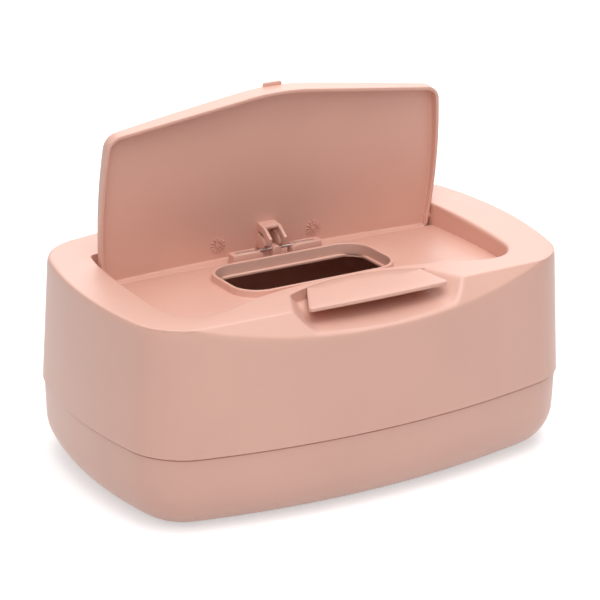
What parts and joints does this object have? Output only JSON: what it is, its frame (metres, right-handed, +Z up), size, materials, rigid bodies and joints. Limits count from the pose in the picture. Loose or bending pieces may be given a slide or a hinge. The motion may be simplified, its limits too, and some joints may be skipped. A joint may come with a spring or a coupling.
{
  "type": "baby wipes box",
  "caption": "Rounded-rectangle wipes box with a lift-off cover, a snap-hinged lid over the dispensing opening and a finger scoop at the front.",
  "frame": {"origin": "middle of the underside, at the centre of the footprint", "axes": "+X along the long side, -Y to the front with the finger scoop, +Z up"},
  "size_m": [0.25, 0.1652, 0.1815],
  "materials": {
    "blush_plastic": "fine satin moulded polypropylene",
    "spring_steel": "drawn wire"
  },
  "bodies": {
    "tray": {"base_tray": "blush_plastic"},
    "cover": {"cover": "blush_plastic", "snap_spring_rod": "spring_steel"},
    "lid": {"lid": "blush_plastic"},
    "tongue": {"release_tongue": "blush_plastic"}
  },
  "joints": [
    {"name": "cover_lift", "type": "slide", "parent": "tray", "child": "cover", "axis": [0, 0, 1], "range_m": [0, 0.12]},
    {"name": "lid_hinge", "type": "hinge", "parent": "cover", "child": "lid", "pos_m": [0, 0.0343, 0.0953], "axis": [1, 0, 0], "range_deg": [0, 76]},
    {"name": "tongue_press", "type": "hinge", "parent": "cover", "child": "tongue", "pos_m": [0.002, -0.0413, 0.1035], "axis": [1, 0, 0], "range_deg": [0, 6], "stiffness_Nm_per_rad": 1.2}
  ]
}
